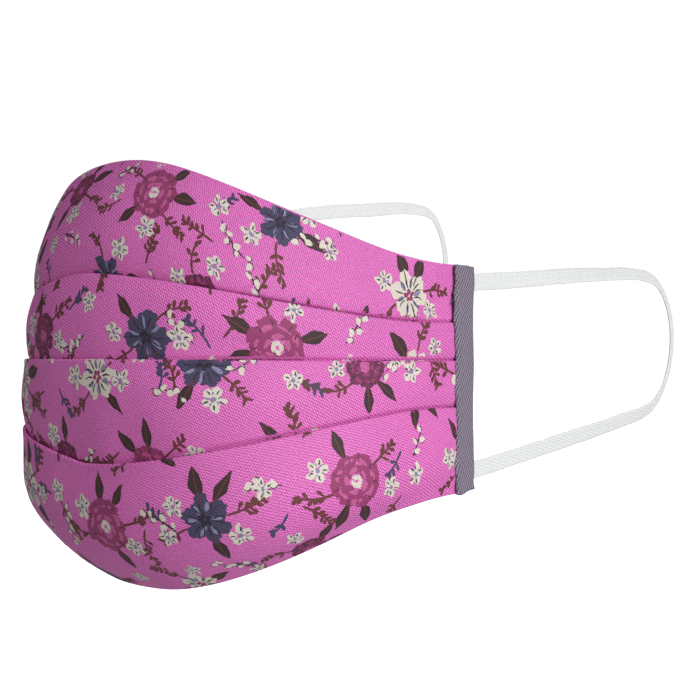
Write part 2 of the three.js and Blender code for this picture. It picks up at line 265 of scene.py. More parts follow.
def panel_path(panel, along):
    """Path of one panel's middle layer at one column, as (down, out) rows."""
    top = cloth.crest(panel, along)
    bottom = cloth.crest(panel + 1, along)
    height = bottom - top
    radius = PITCH / 2
    downs, outs = [], []
    if panel > 0:
        back = top + tuck(panel - 1, along) * BACK_SHARES
        downs += list(back)
        outs += [RETURN_OUT, RETURN_OUT]
        downs += list(top + radius - radius * np.cos(TURN))
        outs += list(CREST_OUT - radius + radius * np.sin(TURN))
    first = 0.0 if panel == 0 else 2 * radius
    rows = int(round(PANEL_LENGTHS[panel] / FACE_ROW_STEP))
    share = np.linspace(0.0, 1.0, rows + 1)
    if panel == LAST_PANEL:
        face = first + (height - first) * share
        downs += list(top + face[1:])
        outs += list(face_out(panel, face[1:], height, along))
        return np.array(downs), np.array(outs)
    face = first + (height - FACE_END - first) * share
    if panel > 0:
        face = face[1:]
    downs += list(top + face)
    outs += list(face_out(panel, face, height, along))
    under = float(under_out(panel, along))
    fold_radius = (RETURN_OUT - under) / 2
    valley = bottom + tuck(panel, along) - fold_radius
    hidden = np.linspace(bottom + HIDDEN_START, valley, 5)
    downs += list(hidden)
    outs += [under] * len(hidden)
    downs += list(valley + fold_radius * np.cos(TURN[1:]))
    outs += list(under + fold_radius + fold_radius * np.sin(TURN[1:]))
    downs.append(bottom + tuck(panel, along) * RETURN_SHARE)
    outs.append(RETURN_OUT)
    return np.array(downs), np.array(outs)


PANEL_LENGTHS = [36.6, 26.2, 30.0, 40.1]
HIDDEN_LENGTH = 10.0
PANEL_STARTS = np.concatenate([[0.0], np.cumsum(np.array(PANEL_LENGTHS[:3]) + HIDDEN_LENGTH)])
FABRIC = 250.0


def wall_rows(downs, outs, wall):
    """Offsets a path to both sides by half the wall, giving a closed outline."""
    steps_down = np.gradient(downs)
    steps_out = np.gradient(outs)
    length = np.hypot(steps_down, steps_out)
    normal_down = -steps_out / length
    normal_out = steps_down / length
    half = wall / 2
    front = np.stack([downs + normal_down * half, outs + normal_out * half])
    back = np.stack([downs - normal_down * half, outs - normal_out * half])
    return np.concatenate([front, back[:, ::-1]], axis=1)


def make_mesh(name, vertices, faces, materials, face_slots=None, uvs=None, uv_name="fabric"):
    """A mesh object from vertices in mm of the construction frame. uvs are one pair a vertex."""
    mesh = bpy.data.meshes.new(name)
    placed = (np.asarray(vertices, dtype=float) - NOSE_SEAT) * MM
    if not isinstance(faces, list):
        faces = np.asarray(faces).tolist()
    mesh.from_pydata(placed.tolist(), [], faces)
    if uvs is not None:
        layer = mesh.uv_layers.new(name=uv_name)
        corners = np.empty(len(mesh.loops), dtype=np.int32)
        mesh.loops.foreach_get("vertex_index", corners)
        layer.data.foreach_set("uv", np.asarray(uvs, dtype=np.float32)[corners].ravel())
    for material in materials:
        mesh.materials.append(material)
    if face_slots is not None:
        mesh.polygons.foreach_set("material_index", np.asarray(face_slots, dtype=np.int32))
    mesh.polygons.foreach_set("use_smooth", np.ones(len(mesh.polygons), dtype=bool))
    mesh.validate()
    mesh.update()
    piece = bpy.data.objects.new(name, mesh)
    bpy.context.scene.collection.objects.link(piece)
    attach(piece, "root")
    return piece


def grid_faces(columns, ring):
    """Quads of rings of points joined along the columns, with strip caps at both ends."""
    i = np.arange(columns - 1)[:, None]
    j = np.arange(ring)[None, :]
    a = i * ring + j
    b = i * ring + (j + 1) % ring
    quads = np.stack([a, a + ring, b + ring, b], axis=-1).reshape(-1, 4).tolist()
    last = (columns - 1) * ring
    for j in range(ring // 2 - 1):
        k = ring - 1 - j
        quads.append([j, j + 1, k - 1, k])
        quads.append([last + j, last + k, last + k - 1, last + j + 1])
    return quads


def build_panel(panel, name, material):
    rings, places = [], []
    for along in cloth.columns:
        downs, outs = panel_path(panel, along)
        outline = wall_rows(downs, outs, WALL)
        rings.append(outline)
        crest = cloth.crest(panel, along)
        fabric = PANEL_STARTS[panel] + outline[0] - crest
        across = np.full(len(fabric), (along + FABRIC / 2) / FABRIC)
        places.append(np.stack([across, fabric / FABRIC], axis=-1))
    rings = np.array(rings)
    along = np.repeat(cloth.columns[:, None], rings.shape[2], axis=1)
    points = cloth.at(along, rings[:, 0], rings[:, 1])
    faces = grid_faces(len(cloth.columns), rings.shape[2])
    uvs = np.concatenate(places)
    return make_mesh(name, points.reshape(-1, 3), faces, [material], uvs=uvs)


# Camera, from the photograph: nearly level, 47 degrees round from the front towards the wearer's left
AZIMUTH = math.radians(47.17)
ELEVATION = math.radians(0.07)
DISTANCE, ASIDE, ABOVE = 650.5, 15.88, 2.98
LENS = 106.7


def make_camera():
    back = Vector((math.sin(AZIMUTH) * math.cos(ELEVATION), -math.cos(AZIMUTH) * math.cos(ELEVATION),
                   math.sin(ELEVATION)))
    right = Vector((math.cos(AZIMUTH), math.sin(AZIMUTH), 0.0))
    up = back.cross(right)
    place = (back * DISTANCE + right * ASIDE + up * ABOVE - Vector(NOSE_SEAT)) * MM
    data = bpy.data.cameras.new("camera")
    data.lens = LENS
    data.sensor_width = 36.0
    data.clip_start = 0.02
    data.clip_end = 60.0
    camera = bpy.data.objects.new("camera", data)
    turn = Matrix((right, up, back)).transposed().to_4x4()
    camera.matrix_world = Matrix.Translation(place) @ turn
    bpy.context.scene.collection.objects.link(camera)
    bpy.context.scene.camera = camera


make_camera()


def srgb(red, green, blue):
    """Linear colour of an sRGB colour of 0 to 255."""
    parts = [value / 255 for value in (red, green, blue)]
    return tuple(p / 12.92 if p <= 0.04045 else ((p + 0.055) / 1.055) ** 2.4 for p in parts) + (1.0,)


class Nodes:
    """Short calls for building one material's nodes."""

    def __init__(self, name):
        self.material = bpy.data.materials.new(name)
        self.material.use_nodes = True
        self.tree = self.material.node_tree
        self.shader = self.tree.nodes["Principled BSDF"]

    def add(self, kind, **settings):
        node = self.tree.nodes.new(kind)
        for key, value in settings.items():
            setattr(node, key, value)
        return node

    def link(self, source, target):
        self.tree.links.new(source, target)

    def math(self, operation, first, second=None):
        node = self.add("ShaderNodeMath", operation=operation)
        for socket, value in zip(node.inputs, (first, second)):
            if value is None:
                continue
            if isinstance(value, (int, float)):
                socket.default_value = value
            else:
                self.link(value, socket)
        return node.outputs[0]

    def mix(self, factor, first, second, blend="MIX"):
        node = self.add("ShaderNodeMix", data_type="RGBA", blend_type=blend)
        for socket, value in zip((node.inputs[0], node.inputs[6], node.inputs[7]), (factor, first, second)):
            if isinstance(value, (int, float, tuple)):
                socket.default_value = value
            else:
                self.link(value, socket)
        return node.outputs[2]

    def noise(self, vector, scale, detail=2.0, rough=0.5):
        node = self.add("ShaderNodeTexNoise")
        node.inputs["Scale"].default_value = scale
        node.inputs["Detail"].default_value = detail
        node.inputs["Roughness"].default_value = rough
        self.link(vector, node.inputs["Vector"])
        return node.outputs["Fac"]

    def ramp(self, value, low, high):
        node = self.add("ShaderNodeMapRange", clamp=True)
        node.inputs["From Min"].default_value = low
        node.inputs["From Max"].default_value = high
        self.link(value, node.inputs["Value"])
        return node.outputs["Result"]

    def bump(self, height, distance):
        node = self.add("ShaderNodeBump")
        node.inputs["Distance"].default_value = distance
        self.link(height, node.inputs["Height"])
        self.link(node.outputs["Normal"], self.shader.inputs["Normal"])

    def surface(self, roughness, sheen=0.0, specular=0.5, tint=(1.0, 1.0, 1.0, 1.0)):
        self.shader.inputs["Roughness"].default_value = roughness
        self.shader.inputs["Sheen Weight"].default_value = sheen
        self.shader.inputs["Sheen Roughness"].default_value = 0.4
        self.shader.inputs["Sheen Tint"].default_value = tint
        self.shader.inputs["Specular IOR Level"].default_value = specular


# The weave's wavering, the shares of ribs and yarns in its height, and the yarns' slant
WAVER_SCALE, WAVER_AMOUNT = 0.8, 3.6
RIB_SHARE, YARN_SHARE = 0.24, 0.28
YARN_SLANT = 0.45


def weave(nodes, uv_name, scale, across, down, cross):
    """Height of a diagonal weave from a UV map: ribs by (across, down) turns a mm, yarns by cross turns."""
    place = nodes.add("ShaderNodeUVMap", uv_map=uv_name).outputs[0]
    sized = nodes.add("ShaderNodeVectorMath", operation="SCALE")
    nodes.link(place, sized.inputs[0])
    sized.inputs["Scale"].default_value = scale
    in_mm = sized.outputs[0]
    split = nodes.add("ShaderNodeSeparateXYZ")
    nodes.link(in_mm, split.inputs[0])
    u, v = split.outputs[0], split.outputs[1]
    waver = nodes.math("MULTIPLY", nodes.noise(in_mm, WAVER_SCALE, 3.0), WAVER_AMOUNT)
    ribs = nodes.math("ADD", nodes.math("MULTIPLY", u, across), nodes.math("MULTIPLY", v, down))
    ribs = nodes.math("SINE", nodes.math("ADD", nodes.math("MULTIPLY", ribs, 2 * math.pi), waver))
    yarns = nodes.math("MULTIPLY", u, cross)
    yarns = nodes.math("SUBTRACT", yarns, nodes.math("MULTIPLY", v, cross * YARN_SLANT))
    yarns = nodes.math("SINE", nodes.math("ADD", nodes.math("MULTIPLY", yarns, 2 * math.pi), waver))
    ribs = nodes.math("MULTIPLY", ribs, RIB_SHARE)
    height = nodes.math("ADD", ribs, nodes.math("MULTIPLY", yarns, YARN_SHARE))
    return nodes.math("ADD", height, 0.5), in_mm


TWILL_ACROSS, TWILL_DOWN, TWILL_CROSS = -0.56, 1.2, 1.5


def twill_material(name, colour, dark, light, contrast=1.0):
    """Printed cotton twill: diagonal ribs, yarn bumps and faint blotches. Its colour follows the weave's
    height: darker in the grooves as painted shade, lighter on the ridges as a painted highlight, with random
    yarn tone mixed in.
    """
    nodes = Nodes(name)
    height, in_mm = weave(nodes, "fabric", FABRIC, TWILL_ACROSS, TWILL_DOWN, TWILL_CROSS)
    fine = nodes.noise(in_mm, 1.7, 4.0, 0.7)
    broad = nodes.noise(in_mm, 0.05, 3.0)
    # Colour by the weave's height: painted shade in the grooves, a painted highlight on the ridges, and
    # random yarn tone from the fine noise.
    weave_shade_and_yarn_tone = nodes.math("MULTIPLY", height, 0.6 * contrast)
    weave_shade_and_yarn_tone = nodes.math("ADD", weave_shade_and_yarn_tone, nodes.math("MULTIPLY", fine, 0.7))
    shade = nodes.mix(nodes.ramp(weave_shade_and_yarn_tone, 0.4, 0.9), dark, light)
    blotch = nodes.mix(nodes.ramp(broad, 0.3, 0.7), (0.95, 0.95, 0.95, 1.0), (1.03, 1.03, 1.03, 1.0))
    colour_out = nodes.mix(1.0, shade, blotch, "MULTIPLY")
    nodes.link(colour_out, nodes.shader.inputs["Base Color"])
    nodes.bump(nodes.math("ADD", height, nodes.math("MULTIPLY", fine, 0.5)), 0.00006)
    nodes.surface(0.62, 0.04, 0.34, colour)
    return nodes.material


PINK = srgb(232, 132, 201)
# The ground's darker and lighter pinks are mixed by the weave's height: painted shade in its grooves, a
# painted highlight on its ridges.
pink = twill_material("printed_twill_ground", PINK, srgb(177, 65, 142), srgb(255, 144, 225))

panels = [build_panel(k, name, pink) for k, name in enumerate(
    ("panel_top", "panel_second", "panel_third", "panel_bottom"))]
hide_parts("mask_cloth")
for k, panel in enumerate(panels):
    if k > 0:
        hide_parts("mask_cloth")


# Floral print, drawn as thin shapes that lie on the outer face of the cloth.
# Places are on the flat cloth: along it from its middle, and down it from the top hem with the pleats open.
# Each print colour is a darker and a lighter tone, mixed by the weave's height: painted shade in its grooves,
# a painted highlight on its ridges.
PRINT_COLOURS = dict(
    cream=((214, 203, 190), (240, 232, 220)),
    slate=((120, 122, 158), (158, 160, 192)),
    navy=((62, 56, 82), (92, 86, 120)),
    ink=((44, 34, 50), (66, 54, 70)),
    plum=((98, 36, 70), (134, 60, 98)),
    wine=((142, 52, 100), (172, 76, 126)),
    rose=((188, 84, 142), (214, 112, 168)),
    leaf=((54, 38, 42), (78, 56, 56)),
    twig=((96, 50, 50), (124, 70, 66)),
)
PRINT_SEED = 7
REPEAT = 160.0

# Heights of the print above the cloth: of all of it, of each layer, and of each motif in a round of eight
PRINT_LIFT = 0.03
PRINT_LAYER = 0.011
MOTIF_LIFT, MOTIF_ROUND = 0.0012, 8

# Where the print starts below a hem or a crest and ends past the next, how far it runs under the tapes, how
# much of it lies on a crest's rounding, and where its places meet the cloth's own again
HEM_GAP = 0.5
CREST_GAP, CREST_PAST = 0.1, 0.2
UNDER_TAPE = 0.8
CREST_SHOULDER = 1.0
CREST_SETTLED = 6.0


class Artwork:
    """Shapes of the print as triangles on the flat cloth, each with a colour and a small height."""

    def __init__(self, seed):
        self.dice = np.random.RandomState(seed)
        self.points, self.faces, self.colours, self.heights = [], [], [], []
        self.count = 0
        self.motif = 0

    def add(self, colour, layer, points, faces):
        height = PRINT_LIFT + PRINT_LAYER * layer + MOTIF_LIFT * (self.motif % MOTIF_ROUND)
        self.points.append(np.asarray(points))
        self.faces.append(np.asarray(faces) + self.count)
        self.colours.append(np.full(len(faces), list(PRINT_COLOURS).index(colour)))
        self.heights.append(np.full(len(points), height))
        self.count += len(points)

    def roll(self, low, high):
        return low + (high - low) * self.dice.rand()

    def blob(self, colour, layer, x, y, long, short, turn, rough, point=0.0):
        """A filled patch with an uneven outline, its length along the turn."""
        count = int(np.clip(2 * math.pi * long / 0.42, 9, 44))
        rings = max(1, int(math.ceil(long / 0.9)))
        angle = np.arange(count) * 2 * math.pi / count
        phase = self.dice.rand(4) * 2 * math.pi
        edge = 1.0 + rough * (0.5 * np.sin(2 * angle + phase[0]) + 0.4 * np.sin(3 * angle + phase[1])
                              + 0.35 * np.sin(5 * angle + phase[2]) + 0.3 * np.sin(9 * angle + phase[3]))
        flat = np.stack([long * np.cos(angle) * edge, short * np.sin(angle) * edge], axis=-1)
        if point:
            flat[:, 1] *= (1.0 - point * np.abs(np.cos(angle)) ** 1.5)
        turned = np.stack([flat[:, 0] * math.cos(turn) - flat[:, 1] * math.sin(turn),
                           flat[:, 0] * math.sin(turn) + flat[:, 1] * math.cos(turn)], axis=-1)
        points = [np.array([[x, y]])]
        faces = [(0, 1 + i, 1 + (i + 1) % count) for i in range(count)]
        for ring in range(1, rings + 1):
            points.append(np.array([x, y]) + turned * ring / rings)
        for ring in range(1, rings):
            low, high = 1 + (ring - 1) * count, 1 + ring * count
            for i in range(count):
                j = (i + 1) % count
                faces += [(low + i, high + i, high + j), (low + i, high + j, low + j)]
        self.add(colour, layer, np.concatenate(points), faces)

    def stroke(self, colour, layer, points, start, end, rough=0.15):
        """A brush line through a few points, with a width in mm at its start and its end."""
        points = np.asarray(points, dtype=float)
        ends = np.concatenate([[2 * points[0] - points[1]], points, [2 * points[-1] - points[-2]]])
        line = []
        for k in range(len(points) - 1):
            p0, p1, p2, p3 = ends[k:k + 4]
            steps = max(2, int(np.linalg.norm(p2 - p1) / 0.6))
            for i in range(steps):
                t = i / steps
                line.append(0.5 * (2 * p1 + (p2 - p0) * t + (2 * p0 - 5 * p1 + 4 * p2 - p3) * t * t
                                   + (3 * p1 - p0 - 3 * p2 + p3) * t ** 3))
        line = np.array(line + [points[-1]])
        step = np.gradient(line, axis=0)
        step /= np.linalg.norm(step, axis=1, keepdims=True) + 1e-9
        side = np.stack([-step[:, 1], step[:, 0]], axis=-1)
        share = np.linspace(0.0, 1.0, len(line))
        width = start + (end - start) * share
        width = width * (1 + rough * (self.dice.rand(len(line)) - 0.5) * 2)
        width = width * np.clip(np.minimum(share, 1 - share) * 9 + 0.35, 0.0, 1.0)
        both = np.concatenate([line + side * width[:, None] / 2, line - side * width[:, None] / 2])
        count = len(line)
        faces = []
        for i in range(count - 1):
            faces += [(i, i + 1, count + i + 1), (i, count + i + 1, count + i)]
        self.add(colour, layer, both, faces)

    def arc(self, colour, layer, x, y, radius, start, sweep, width):
        angle = start + sweep * np.linspace(0.0, 1.0, 5)
        line = np.stack([x + radius * np.cos(angle), y + radius * np.sin(angle)], axis=-1)
        self.stroke(colour, layer, line, width, width * 0.6)

    def petals(self, colour, layer, place, turn, count, reach, long, wide, lean=0.0):
        """Uneven petals round a middle. place is (along, down, size), and lengths are shares of the size."""
        x, y, size = place
        for i in range(count):
            angle = turn + (i + self.roll(-0.14, 0.14)) * 2 * math.pi / count
            away = size * reach * self.roll(0.92, 1.08)
            self.blob(colour, layer, x + away * math.cos(angle), y + away * math.sin(angle),
                      size * long * self.roll(0.84, 1.14), size * wide * self.roll(0.8, 1.16),
                      angle + lean + self.roll(-0.3, 0.3), 0.22)

    def veins(self, colour, layer, place, turn, count, near, far):
        """Fine lines that run outwards along the petals."""
        x, y, size = place
        for i in range(count):
            angle = turn + (i + self.roll(-0.2, 0.2)) * 2 * math.pi / count
            bow = angle + self.roll(-0.15, 0.15)
            line = [(x + size * r * math.cos(a), y + size * r * math.sin(a))
                    for r, a in ((near, angle), ((near + far) / 2, bow), (far, angle))]
            self.stroke(colour, layer, line, 0.5, 0.3, 0.3)

    def daisy(self, x, y, size, turn, outer, inner, heart, line):
        """An open flower: six broad petals, narrow ones between them, fine lines and a heart."""
        self.motif += 1
        place = (x, y, size)
        self.petals(outer, 2, place, turn, 6, 0.58, 0.42, 0.32)
        self.petals(outer, 3, place, turn + 0.5, 3, 0.16, 0.3, 0.26)
        self.petals(inner, 4, place, turn + math.pi / 6, 6, 0.5, 0.2, 0.08)
        self.veins(line, 5, place, turn, 12, 0.3, 0.76)
        self.petals(heart, 6, place, turn, 5, 0.16, 0.12, 0.09)

    def rosette(self, x, y, size, turn, outer, inner, heart, line):
        """A full flower: rings of petals laid across, smaller towards the heart, in two colours by turns."""
        self.motif += 1
        place = (x, y, size)
        across = math.pi / 2
        self.petals(outer, 2, place, turn, 8, 0.68, 0.33, 0.22, across)
        self.petals(inner, 3, place, turn + 0.4, 7, 0.6, 0.22, 0.1, across)
        self.petals(outer, 4, place, turn + 0.2, 6, 0.4, 0.27, 0.18, across)
        self.petals(inner, 5, place, turn + 0.7, 5, 0.34, 0.17, 0.08, across)
        self.veins(line, 6, place, turn + 0.3, 9, 0.62, 0.88)
        self.petals(heart, 7, place, turn, 4, 0.13, 0.12, 0.08, across)

    def blossom(self, x, y, size, turn):
        """A small cream flower of five petals with a slate middle."""
        self.motif += 1
        place = (x, y, size)
        self.petals("cream", 4, place, turn, 5, 0.56, 0.4, 0.32)
        self.petals("slate", 5, place, turn + 0.6, 5, 0.44, 0.14, 0.07)
        self.blob("slate", 6, x, y, size * 0.2, size * 0.16, turn, 0.2)
        self.veins("ink", 6, place, turn, 5, 0.4, 0.8)

    def leaf(self, x, y, size, turn):
        self.motif += 1
        self.blob("leaf", 1, x, y, size / 2, size * 0.19, turn, 0.14, point=0.75)
        tip = (x + size * 0.42 * math.cos(turn), y + size * 0.42 * math.sin(turn))
        stem = (x - size * 0.62 * math.cos(turn), y - size * 0.62 * math.sin(turn))
        self.stroke("twig", 2, [stem, (x, y + 0.2), tip], 0.5, 0.25)

    def sprig(self, x, y, size, turn, colour="twig"):
        """A curved stem, bare at first, then thick with short side stems and buds."""
        self.motif += 1
        bend = self.roll(-0.45, 0.45)
        count = max(4, int(size / 1.5))
        stem = []
        for i in range(count + 1):
            r = size * i / count
            way = turn + bend * i / count
            stem.append((x + r * math.cos(way), y + r * math.sin(way)))
        self.stroke(colour, 0, stem, 0.7, 0.5)
        for i in range(2, count + 1):
            for side in (-1, 1):
                if self.dice.rand() < 0.2:
                    continue
                angle = turn + bend + side * self.roll(0.5, 1.1)
                reach = self.roll(0.9, 1.9) * (1.3 - 0.6 * i / count)
                bx, by = stem[i]
                tx, ty = bx + reach * math.cos(angle), by + reach * math.sin(angle)
                self.stroke(colour, 0.4, [(bx, by), ((bx + tx) / 2, (by + ty) / 2), (tx, ty)], 0.55, 0.45)
                self.blob(colour, 1, tx, ty, self.roll(0.8, 1.15), self.roll(0.42, 0.6), angle, 0.2)
        self.blob(colour, 1, stem[-1][0], stem[-1][1], 1.0, 0.5, turn + bend, 0.2)

    def willow(self, x, y, size, turn):
        """A thin stem with cream buds held in ink."""
        self.motif += 1
        bend = self.roll(-0.3, 0.3)
        stem = [(x + size * t * math.cos(turn + bend * t), y + size * t * math.sin(turn + bend * t))
                for t in (0.0, 0.25, 0.5, 0.75, 1.0)]
        self.stroke("ink", 0, stem, 0.5, 0.35)
        count = max(3, int(size / 1.8))
        for i in range(1, count + 1):
            t = i / count
            way = 1 if i % 2 else -1
            off = self.roll(0.4, 1.3) * way
            bx = x + size * t * math.cos(turn + bend * t) - off * math.sin(turn)
            by = y + size * t * math.sin(turn + bend * t) + off * math.cos(turn)
            wide = self.roll(0.85, 1.3)
            self.blob("cream", 3, bx, by, wide, wide * 0.68, turn + way * self.roll(0.3, 1.0), 0.25)
            self.arc("ink", 4, bx, by, wide * 0.85, self.roll(0, 6), self.roll(1.4, 2.8), 0.36)

    def posy(self, kind, x, y):
        """A flower head with leaves, sprigs and small blossoms set round it."""
        shape, size, colours = HEADS[kind]
        turn = self.roll(0.0, 2 * math.pi)

        def around(angle, away):
            return x + away * math.cos(turn + angle), y + away * math.sin(turn + angle)

        for angle in (0.0, 0.75, 3.1):
            self.leaf(*around(angle, size + 2.4), self.roll(8.0, 10.5), turn + angle)
        for angle in (1.6, 4.5):
            self.sprig(*around(angle, size * 0.8), self.roll(8.0, 12.0), turn + angle)
        getattr(self, shape)(x, y, size * self.roll(0.9, 1.08), turn, *colours)
        for angle in (2.3, 5.3):
            self.blossom(*around(angle, size + self.roll(2.0, 3.6)), self.roll(2.8, 3.8), turn)

    def filling(self, x, y):
        """Loose stems and small blossoms between two posies."""
        stem, flower = (8.0, 13.0), (2.8, 3.6)
        for draw, sizes in ((self.sprig, stem), (self.willow, stem), (self.blossom, flower)):
            size = self.roll(*sizes)
            draw(x + self.roll(-6.0, 6.0), y + self.roll(-8.0, 8.0), size, self.roll(0.0, 2 * math.pi))
        aside, below = self.roll(-6.0, 6.0), self.roll(-6.0, 6.0)
        self.sprig(x + aside, y + below, self.roll(6.0, 9.0), self.roll(0.0, 6.0), "navy")


# Kinds of flower heads: shape, size, and colours of the outer and inner petals, the heart and the lines
HEADS = dict(
    navy=("daisy", 7.2, ("navy", "slate", "ink", "ink")),
    rose=("rosette", 8.2, ("wine", "rose", "cream", "plum")),
    plum=("rosette", 6.8, ("plum", "wine", "rose", "ink")),
    cream=("daisy", 6.4, ("cream", "slate", "wine", "ink")),
)
# Posies in level rows down the cloth, alternate rows half a step along
POSY_ROWS = [
    "rose navy cream plum", "plum rose cream navy", "navy rose cream plum", "navy plum cream cream",
    "rose cream navy plum", "navy rose cream rose", "cream plum cream navy",
]
POSY_ALONG, POSY_DOWN = 26.0, 8.0
POSY_STEP, POSY_DROP = 40.0, 26.0
STRAY_ALONG, STRAY_DOWN = 5.0, 4.0


def draw_print():
    art = Artwork(PRINT_SEED)
    for row, kinds in enumerate(POSY_ROWS):
        for column, kind in enumerate(kinds.split()):
            along = POSY_ALONG + POSY_STEP * (column + 0.5 * (row % 2)) + art.roll(-STRAY_ALONG, STRAY_ALONG)
            down = POSY_DOWN + POSY_DROP * row + art.roll(-STRAY_DOWN, STRAY_DOWN)
            art.filling(along + POSY_STEP / 2, down)
            art.posy(kind, along, down)
    return (np.concatenate(art.points), np.concatenate(art.faces), np.concatenate(art.colours),
            np.concatenate(art.heights))


def build_print(panel, name, artwork, materials):
    """The part of the print that shows on one panel, laid on its outer face."""
    flat, faces, colours, heights = artwork
    top = PANEL_STARTS[panel]
    limit = HALF_WIDTH + UNDER_TAPE
    points, uvs, kept_faces, kept_colours, count = [], [], [], [], 0
    for shift in (0.0, -REPEAT):
        along = flat[:, 0] + shift
        below = flat[:, 1] - top
        height = cloth.crest(panel + 1, along) - cloth.crest(panel, along)
        first = CREST_GAP if panel > 0 else HEM_GAP
        last = height + (CREST_PAST if panel < LAST_PANEL else -HEM_GAP)
        inside = (np.abs(along) < limit) & (below > first) & (below < last)
        keep = inside[faces].any(axis=1)
        used, index = np.unique(faces[keep], return_inverse=True)
        along = np.clip(along[used], -limit, limit)
        below = np.clip(below[used], first, last[used])
        crest = cloth.crest(panel, along)
        down = below
        out = face_out(panel, below, height[used], along) + WALL / 2 + heights[used]
        if panel > 0:
            round_radius = PITCH / 2 + WALL / 2 + heights[used]
            angle = np.clip(below / CREST_SHOULDER, 0.0, 1.0) * math.pi / 2
            over = below < CREST_SHOULDER
            rounded = PITCH / 2 - round_radius * np.cos(angle)
            settled_run = CREST_SETTLED - CREST_SHOULDER + PITCH / 2
            flat_on = PITCH / 2 + (below - CREST_SHOULDER) * CREST_SETTLED / settled_run
            settling = np.where(below < CREST_SETTLED, np.minimum(flat_on, below), below)
            down = np.where(over, rounded, settling)
            out = np.where(over, CREST_OUT - PITCH / 2 + round_radius * np.sin(angle), out)
        points.append(cloth.at(along, crest + down, out))
        uvs.append(np.stack([(along + FABRIC / 2) / FABRIC, (top + below) / FABRIC], axis=-1))
        kept_faces.append(index.reshape(-1, 3) + count)
        kept_colours.append(colours[keep])
        count += len(used)
    piece = make_mesh(name, np.concatenate(points), np.concatenate(kept_faces), materials,
                      np.concatenate(kept_colours), np.concatenate(uvs))
    return piece


artwork = draw_print()
print_materials = []
for colour, (dark, light) in PRINT_COLOURS.items():
    print_materials.append(twill_material("print_" + colour, srgb(*light), srgb(*dark), srgb(*light), 0.8))
for k, name in enumerate(("print_top", "print_second", "print_third", "print_bottom")):
    build_print(k, name, artwork, print_materials)


# Folded tapes over the side edges
TAPE_WALL = 0.6
TAPE_OUTER = 68.0
TAPE_INNER = 63.5
TAPE_BACK = 8.0
TAPE_TOP, TAPE_BOTTOM = 28.2, -39.2
TAPE_CORNER = 1.1
TAPE_ROW_STEP = 0.6

# Heights of the elastics' ends in the tape, and how far the tape bulges round them
UPPER_END, LOWER_END = 23.0, -32.3
END_SPREAD = 3.4

# Millimetres for each unit of the tapes' and the bands' UV maps
STRAP_UNIT = 100.0


def tape_profile():
    """Middle line of the folded tape seen from above, as (side, back), with its running length."""
    corner = np.linspace(0.0, math.pi / 2, 9)
    r = TAPE_CORNER
    outer = [(TAPE_OUTER, b) for b in np.linspace(0.0, TAPE_BACK - r, 12)]
    outer += [(TAPE_OUTER - r + r * math.cos(a), TAPE_BACK - r + r * math.sin(a)) for a in corner[1:]]
    inner = [(TAPE_INNER + r - r * math.sin(a), TAPE_BACK - r + r * math.cos(a)) for a in corner]
    inner += [(TAPE_INNER, b) for b in np.linspace(TAPE_BACK - r, 0.0, 12)[1:]]
    return np.array(outer + inner)


def tape_place(profile, sign, share):
    """Bends the straight tape: slanted ends, soft waves, bulges at the elastics, a lifted top corner."""
    side, back = profile[..., 0], profile[..., 1]
    depth = smooth(back / TAPE_BACK)
    top = TAPE_TOP - 0.35 - 0.65 * depth
    bottom = TAPE_BOTTOM + 0.1 + 1.6 * depth
    up = bottom + (top - bottom) * share
    outer = smooth((side - 65.0) / 2.5)
    front = 1.0 - smooth(back / 5.0)
    lift = 0.5 * smooth((up - 21.0) / 7.0) * front * outer
    press = -0.28 * (1.0 - smooth(back / 1.6)) * outer * (1.0 - smooth((up - 20.0) / 5.0))
    wave = 0.14 * np.sin(up / 5.3) * front * (outer - 0.5) * 2
    full = 0.42 * np.sin(math.pi * np.clip(back / TAPE_BACK, 0.0, 1.0)) * outer
    elastic = np.exp(-((up - UPPER_END) / END_SPREAD) ** 2) + np.exp(-((up - LOWER_END) / END_SPREAD) ** 2)
    behind = (0.3 * elastic + 0.16 * np.sin(up / 4.1 + 2.0)) * depth
    flare = 0.7 * smooth((-35.0 - up) / 3.0) * depth
    pucker = 0.9 * np.exp(-((up + 31.0) / 2.2) ** 2)
    forward = (0.22 * np.sin(up / 3.1 + 1.0) + 0.2 * np.sin(up / 1.1) - pucker) * front
    drift = 0.9 * smooth((20.0 - up) / 40.0) * front
    sideways = side + lift + press + wave + full
    backward = back + forward + behind + flare + drift
    return np.stack([sign * sideways, backward, up], axis=-1)


def build_tape(name, sign, material):
    profile = tape_profile()
    step = np.gradient(profile, axis=0)
    normal = np.stack([step[:, 1], -step[:, 0]], axis=-1)
    normal /= np.linalg.norm(normal, axis=-1, keepdims=True)
    half = np.full(len(profile), TAPE_WALL / 2)
    half[[0, -1]] *= 0.5
    ring = np.concatenate([profile + normal * half[:, None], (profile - normal * half[:, None])[::-1]])
    lengths = np.concatenate([[0.0], np.cumsum(np.linalg.norm(np.diff(profile, axis=0), axis=-1))])
    lengths = np.concatenate([lengths, lengths[::-1]])
    rows = int(round((TAPE_TOP - TAPE_BOTTOM) / TAPE_ROW_STEP))
    points, uvs = [], []
    for i in range(rows + 1):
        place = tape_place(ring, sign, i / rows)
        if i in (0, rows):
            place[:, 2] += 0.12 * np.sin(lengths * 9.0)
        points.append(place)
        uvs.append(np.stack([lengths / STRAP_UNIT, (place[:, 2] - TAPE_BOTTOM) / STRAP_UNIT], axis=-1))
    faces = grid_faces(rows + 1, len(ring))
    if sign < 0:
        faces = [face[::-1] for face in faces]
    return make_mesh(name, np.concatenate(points), faces, [material], uvs=np.concatenate(uvs), uv_name="tape")


